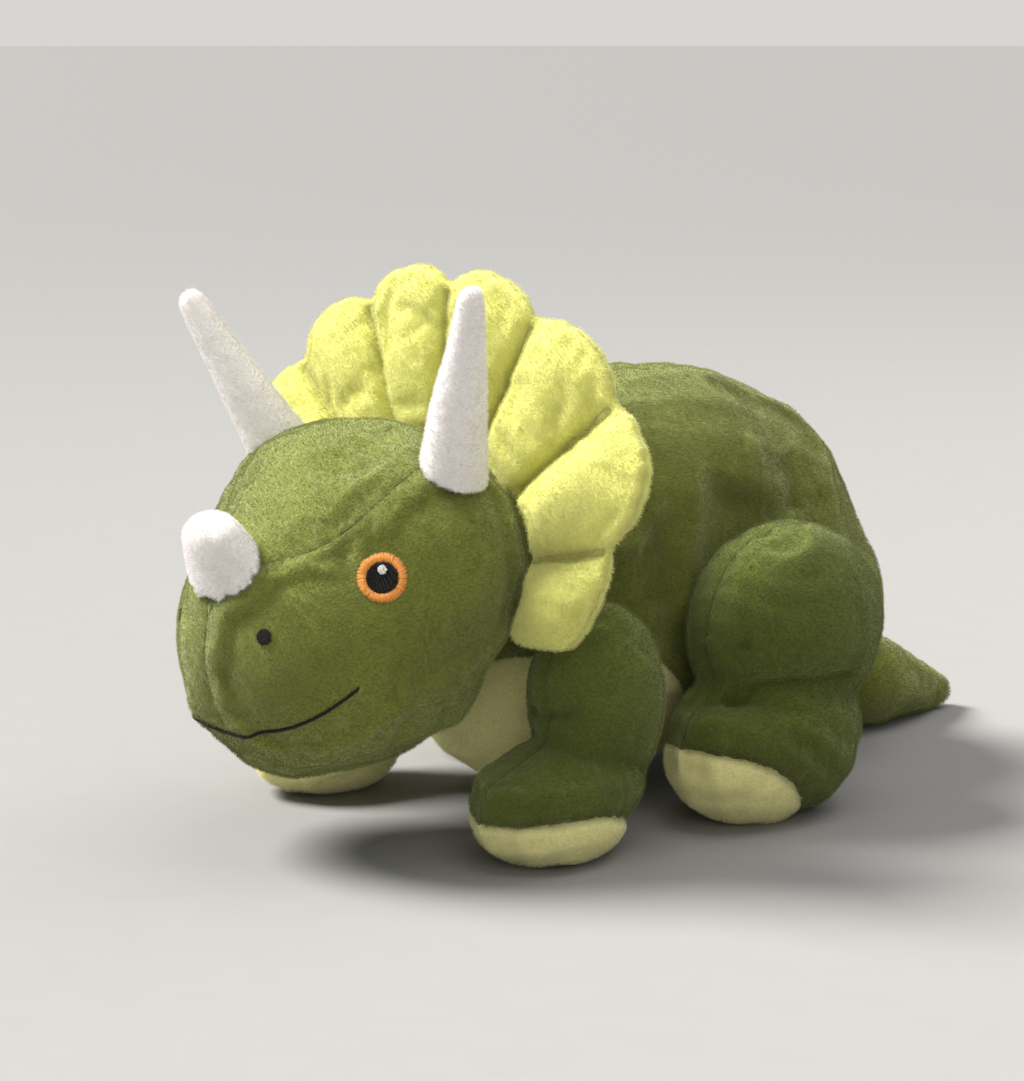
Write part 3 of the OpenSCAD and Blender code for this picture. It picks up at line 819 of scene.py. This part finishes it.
NECK = next(np.array(j["pos_m"]) / MM for j in frame["joints"] if j["name"] == "neck_nod")
HEAD_MIDDLE = NECK + np.array([0, -70, -4])
SIDES = ("left", "right")
ORANGE = thread_material("orange_thread", (0.95, 0.36, 0.06))
WHITE = thread_material("white_thread", (0.80, 0.78, 0.74))
BLACK = thread_material("black_thread", (0.010, 0.009, 0.008), sheen=0.0, rough=0.65)
LIME_THREAD = thread_material("yellow_green_thread", (0.62, 0.58, 0.10))
EYE_RADIUS = 7.8
PUPIL_RADIUS = 0.62 * EYE_RADIUS
HIGHLIGHT_RADIUS = 0.17 * EYE_RADIUS
NOSTRIL_RADIUS = 2.9
FRILL_LOBES = 8
LOBE_ANGLE = 26        # degrees of the fan that one lobe takes
LEG_STUFFING = [f"{s}_{e}_leg_stuffing" for s in SIDES for e in ("front", "hind")]
BELLY_STOP = 58        # how far from the torso's rear end the belly panel starts to run out
BELLY_FADE = 24        # and over what length

# Folds as points, then depth, width and width of the banks.
# The points of the cheek, ankle and knee are shares of a box, for the left side.
CHEEK_FOLD = ([(0.94, 0.46, 0.28), (0.88, 0.65, 0.27)], 0.9, 0.9, 4.0)
ANKLE_FOLD = ([(0.14, 0.456, 0.52), (0.28, 0.40, 0.51), (0.41, 0.39, 0.51), (0.60, 0.40, 0.54),
               (0.76, 0.48, 0.58)], 3.4, 2.0, 8.0)
KNEE_FOLDS = [
    ([(0.49, 0.07, 0.41), (0.57, 0.13, 0.46), (0.77, 0.20, 0.49), (0.91, 0.37, 0.487), (0.94, 0.59, 0.485),
      (0.85, 0.77, 0.49)], 6.0, 2.2, 8.0),
    ([(0.71, 0.12, 0.63), (0.76, 0.16, 0.57), (0.79, 0.21, 0.51)], 0.8, 0.8, 3.0),
    ([(0.64, 0.09, 0.60), (0.78, 0.21, 0.65)], 1.2, 1.2, 4.0),
]
# The points of the flank are millimetres from the torso's middle, front and bottom.
FAR_FLANK = 0.45       # depth of the right flank's folds, next to 1 for the left's
FLANK_FOLDS = [
    ([(42, 92, 107), (43, 104, 101), (43, 118, 95), (41, 134, 92)], 3.2, 6.0, 12.0),
    ([(35, 140, 110), (38, 143, 101), (41, 142, 88)], 2.6, 5.5, 10.0),
    ([(22, 172, 100), (26, 181, 86), (30, 184, 66)], 2.4, 6.0, 11.0),
    ([(37, 116, 116), (41, 128, 105), (41, 134, 94)], -1.6, 6.0, 10.0),
    ([(26, 150, 116), (33, 160, 100), (37, 163, 82)], -1.8, 6.0, 10.0),
    ([(40, 104, 108), (42, 95, 100), (43, 90, 88), (43, 88, 74), (42, 87, 56)], -3.0, 5.0, 9.0),
    ([(38, 66, 104), (42, 74, 84), (42, 76, 62)], 1.8, 6.0, 12.0),
]


def mirrored(points, side):
    """Shares of a box given for the left side, for either side."""
    return [(x if side == "left" else 1 - x, y, z) for x, y, z in points]


def side_fold(fold, nodes, side):
    line, *size = fold
    return [in_box(nodes, *p) for p in mirrored(line, side)], *size


def build_head():
    panels = ["head_left_panel", "head_right_panel", "forehead_panel", "chin_panel"]
    plush = Plush(panels, ["head_stuffing"], 2.4, 11, neighbours=["torso_stuffing"], lumps=0.5, seam=0.34,
                  pucker=2.4, soft_panel=panels.index("chin_panel"),
                  creases=[side_fold(CHEEK_FOLD, panels, side) for side in SIDES])
    bald = [(middle_of(f"{s}_eye_pupil"), EYE_RADIUS + 0.1) for s in SIDES]
    bald += [(middle_of(f"{s}_nostril"), NOSTRIL_RADIUS + 0.2) for s in SIDES]
    bald.append((mouth_line(plush), 1.0))
    for index, node in enumerate(panels):
        stands_for = [node, "head_stuffing"] if node == "forehead_panel" else [node]
        plush.panel_object(node.replace("_panel", "_plush"), index, "head", GREEN, stands_for, bald=bald)
    return plush


def build_face(head):
    rng = np.random.default_rng(5)
    pitch = 0.42
    for side in SIDES:
        spot = Spot(head, f"{side}_eye_pupil", HEAD_MIDDLE)
        ring = ring_of_stitches(spot, PUPIL_RADIUS, EYE_RADIUS, 104, 0.5, rng)
        embroidery(f"{side}_eye_ring_stitches", ring, ORANGE, f"{side}_eye_ring")
        pupil = filled_disc(spot, PUPIL_RADIUS + 0.1, 0, 0, pitch, 2.6, 0.45, rng)
        embroidery(f"{side}_eye_pupil_stitches", pupil, BLACK, f"{side}_eye_pupil")
        node = f"{side}_eye_highlight"
        offset = middle_of(node) - spot.centre
        x, y = offset @ spot.x, offset @ spot.y
        glint = filled_disc(spot, HIGHLIGHT_RADIUS, x, y, 0.4, 3.0, 0.85, rng, squeeze=1.15)
        embroidery(f"{node}_stitches", glint, WHITE, node)
        spot = Spot(head, f"{side}_nostril", HEAD_MIDDLE)
        hole = filled_disc(spot, NOSTRIL_RADIUS - 0.3, 0, 0, pitch, 2.2, 0.45, rng)
        embroidery(f"{side}_nostril_stitches", hole, BLACK, f"{side}_nostril")
    embroidery("mouth_stitches", mouth_bars(head, rng), BLACK, "mouth_stitching")


def mouth_line(head):
    """Where the mouth runs over the cloth, from one cheek under the snout to the other."""
    line = []
    for t in np.linspace(-1, 1, 161):
        a = abs(t)
        lat, lon = math.radians(43 + 23 * a ** 1.6), math.radians(-90 + 69 * a ** 0.8)
        way = np.array([math.copysign(math.sin(lat) * math.cos(lon), t), -math.cos(lat),
                        math.sin(lat) * math.sin(lon)])
        line.append(head.surface.drop(HEAD_MIDDLE + 60 * way, -way)[0])
    return np.array(line)


def mouth_bars(head, rng):
    """Overlapping stitches along the mouth."""
    pitch, reach, lift, radius, arch = 1.5, 2.6, 0.6, 0.6, 0.3
    line = mouth_line(head)
    length = np.concatenate([[0], np.cumsum(np.linalg.norm(np.diff(line, axis=0), axis=1))])

    def along(s):
        return np.array([np.interp(s, length, line[:, k]) for k in range(3)])

    bars = []
    for s in np.arange(0, length[-1] - reach, pitch):
        a, b = along(s), along(s + reach)
        up = unit((a + b) / 2 - HEAD_MIDDLE)
        wobble = 0.08 * rng.uniform(-1, 1, 3)
        bars.append(thread_bar(a + lift * up + wobble, b + lift * up, up, radius, arch))
    return bars


def build_horns():
    for name in ("nose_horn", "left_brow_horn", "right_brow_horn"):
        cover, stuffing = f"{name}_cover", f"{name}_stuffing"
        cap, proud = (1.6, 1.2) if name == "nose_horn" else (0.8, 0.6)
        plush = Plush([cover], [stuffing], 1.6, len(name), pressure=3.0, cap=cap, proud=proud, lumps=0.55)
        plush.panel_object(name + "_plush", 0, "head", BONE, [cover, stuffing], pile=1.6)


def build_frill():
    panels = ["frill_front_panel", "frill_back_panel"]
    plush = Plush(panels, ["frill_wadding"], 2.2, 31, neighbours=["torso_stuffing"], pressure=3.0, cap=2.0,
                  proud=1.2, lumps=0.5, seam=0.4, pucker=0.6, grooves=[(["frill_stitching"], 1.4, 1.2, 4.5)])
    plush.panel_object("frill_front_plush", 0, "head", LIME, ["frill_front_panel", "frill_wadding"])
    plush.panel_object("frill_back_plush", 1, "head", LIME, ["frill_back_panel"])
    embroidery("frill_channel_stitches", channel_bars(plush), LIME_THREAD,
               "frill_stitching")


def channel_bars(frill):
    """Small sunk stitches along the seams that part the lobes, on both faces of the frill."""
    pitch, stitch, sunk, radius, arch = 3.4, 2.2, 0.1, 0.22, 0.1
    low, high = (np.array(v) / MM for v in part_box("frill_stitching"))
    centre = np.array([0, 0, NECK[2]])
    reach = max(high[0], high[2] - centre[2])
    bars = []
    for k in range(1, FRILL_LOBES):
        turn = math.radians(90 + LOBE_ANGLE * (k - FRILL_LOBES / 2))
        way = np.array([math.cos(turn), 0, math.sin(turn)])
        for face in (-1, 1):
            toward = np.array([0.0, -face, 0.0])
            for r in np.arange(0.58 * reach, 0.93 * reach, pitch):
                start = centre + r * way + np.array([0, (low[1] + high[1]) / 2, 0])
                a, _ = frill.surface.drop(start, toward)
                b, _ = frill.surface.drop(start + stitch * way, toward)
                bars.append(thread_bar(a - sunk * toward, b - sunk * toward, -toward, radius, arch))
    return bars


def lift_rump_seams(points, near):
    """The belly panel stops short of the tail, where the two sides meet in one seam."""
    out_of_reach = 60
    near = near.copy()
    near[:, 2] += out_of_reach * smooth_step((points[:, 1] - points[:, 1].max() + BELLY_STOP) / BELLY_FADE)
    return near


def build_torso():
    panels = ["torso_left_panel", "torso_right_panel", "belly_panel"]
    low = in_box(panels, 0, 0, 0)
    folds = [([np.array([s * x, low[1] + y, low[2] + z]) for x, y, z in line], share * depth, width, bank)
             for s, share in ((1, 1.0), (-1, FAR_FLANK)) for line, depth, width, bank in FLANK_FOLDS]
    plush = Plush(panels, ["torso_stuffing"], 3.2, 41, lumps=1.2, seam=0.45, creases=folds,
                  neighbours=LEG_STUFFING + ["tail_stuffing", "head_stuffing"], shape=lift_rump_seams)
    plush.panel_object("torso_left_plush", 0, "torso", GREEN, [panels[0], "torso_stuffing"])
    plush.panel_object("torso_right_plush", 1, "torso", GREEN, [panels[1]])
    plush.panel_object("belly_plush", 2, "torso", PALE, [panels[2], "neck_stuffing"])


def build_leg(side, end, folds, seed):
    leg = f"{side}_{end}_leg"
    outer, inner, sole = panels = [f"{leg}_outer_panel", f"{leg}_inner_panel", f"{side}_{end}_sole"]
    stuffing = f"{leg}_stuffing"
    creases = [side_fold(fold, [outer, inner], side) for fold in folds]
    plush = Plush(panels, [stuffing], 2.6, seed, neighbours=["torso_stuffing"], lumps=0.6,
                  soft_panel=panels.index(inner), creases=creases)
    plush.panel_object(f"{leg}_outer_plush", 0, leg, DARK_GREEN, [outer, stuffing])
    plush.panel_object(f"{leg}_inner_plush", 1, leg, DARK_GREEN, [inner])
    plush.panel_object(f"{sole}_plush", 2, leg, PALE, [sole])


def build_tail():
    panels = ["tail_left_panel", "tail_right_panel"]
    plush = Plush(panels, ["tail_stuffing"], 2.4, 61, neighbours=["torso_stuffing"], lumps=0.5, seam=0.5,
                  root=(14, 3.0, 0.16))
    plush.panel_object("tail_left_plush", 0, "tail", GREEN, [panels[0], "tail_stuffing"])
    plush.panel_object("tail_right_plush", 1, "tail", GREEN, [panels[1]])


# ================================================================ stage, light and camera

ROOM_LIGHT, BACKDROP_LIGHT = 0.28, 0.85
LAMPS = (      # name, kind, place from the toy's middle, power, colour, the name of its size and the size
    ("key", "SUN", (-0.95, -0.60, 1.25), 8.4, (1.0, 0.985, 0.955), "angle", 0.45),
    ("fill", "AREA", (1.3, -0.9, 0.7), 8.0, (1.0, 0.96, 0.90), "size", 1.4),
    ("top", "AREA", (0.25, 0.2, 1.5), 12.0, (1.0, 0.985, 0.96), "size", 1.2),
    ("back", "AREA", (0.2, 1.3, 1.2), 8.0, (1.0, 0.98, 0.95), "size", 0.9),
)
FRAME_SIZE = (1024, 1081)
FOCAL_LENGTH = 2950    # in pixels of that frame
SENSOR_MM = 36
AZIMUTH, ELEVATION = 49, 10
DISTANCE = 0.9833
TARGET = (0, -0.047, 0.090)


def build_stage():
    low, high = CAD_BOX
    bpy.ops.mesh.primitive_circle_add(vertices=96, radius=30.0, fill_type="NGON", location=(0, 0, low.z))
    floor = bpy.context.object
    floor.name = "floor"
    material, tree, shader = start_material("pale_floor")
    place = add_node(tree, "ShaderNodeTexCoord").outputs["Object"]
    fleck = add_node(tree, "ShaderNodeTexNoise", [("Vector", place), ("Scale", 60.0), ("Detail", 4.0)])
    tint = mix_colours(tree, fleck.outputs["Fac"], (0.25, 0.247, 0.24, 1), (0.265, 0.261, 0.254, 1))
    tree.links.new(tint, shader.inputs["Base Color"])
    shader.inputs["Roughness"].default_value = 0.8
    shader.inputs["Specular IOR Level"].default_value = 0.2
    floor.data.materials.append(material)
    light_studio((low + high) / 2)


def light_studio(middle):
    """A dim even room, a broad soft sun high on the left, and weak lamps on the right, above and behind."""
    world = bpy.data.worlds.new("studio")
    world.use_nodes = True
    tree = world.node_tree
    room = tree.nodes["Background"]
    room.inputs["Color"].default_value = (0.95, 0.97, 1.0, 1)
    room.inputs["Strength"].default_value = ROOM_LIGHT
    backdrop = add_node(tree, "ShaderNodeBackground",
                        [("Color", (0.80, 0.79, 0.77, 1)), ("Strength", BACKDROP_LIGHT)])
    path = add_node(tree, "ShaderNodeLightPath")
    both = add_node(tree, "ShaderNodeMixShader")
    tree.links.new(path.outputs["Is Camera Ray"], both.inputs[0])
    tree.links.new(room.outputs[0], both.inputs[1])
    tree.links.new(backdrop.outputs[0], both.inputs[2])
    tree.links.new(both.outputs[0], tree.nodes["World Output"].inputs["Surface"])
    bpy.context.scene.world = world

    for name, kind, place, power, colour, size_name, size in LAMPS:
        lamp = bpy.data.lights.new(name, kind)
        lamp.energy = power
        lamp.color = colour
        setattr(lamp, size_name, size)
        holder = bpy.data.objects.new(name, lamp)
        holder.location = Vector(place) + middle
        look_along(holder, Vector(place))


def look_along(holder, back):
    """Turns a lamp or camera so that it looks against back, and puts it in the scene."""
    holder.rotation_mode = "QUATERNION"
    holder.rotation_quaternion = back.to_track_quat("Z", "Y")
    bpy.context.scene.collection.objects.link(holder)


def build_camera():
    azimuth, elevation = math.radians(AZIMUTH), math.radians(ELEVATION)
    level = math.cos(elevation)
    back = Vector((math.sin(azimuth) * level, -math.cos(azimuth) * level, math.sin(elevation)))
    camera = bpy.data.objects.new("camera", bpy.data.cameras.new("camera"))
    camera.data.sensor_width = SENSOR_MM
    camera.data.lens = FOCAL_LENGTH * SENSOR_MM / max(FRAME_SIZE)
    camera.location = Vector(TARGET) + back * DISTANCE
    look_along(camera, back)
    bpy.context.scene.camera = camera


bpy.context.scene.view_settings.view_transform = "Standard"
build_camera()
build_stage()
build_face(build_head())
build_horns()
build_frill()
build_torso()
for number, side_name in enumerate(SIDES):
    build_leg(side_name, "front", [ANKLE_FOLD], 51 + 3 * number)
    build_leg(side_name, "hind", KNEE_FOLDS, 71 + 3 * number)
build_tail()
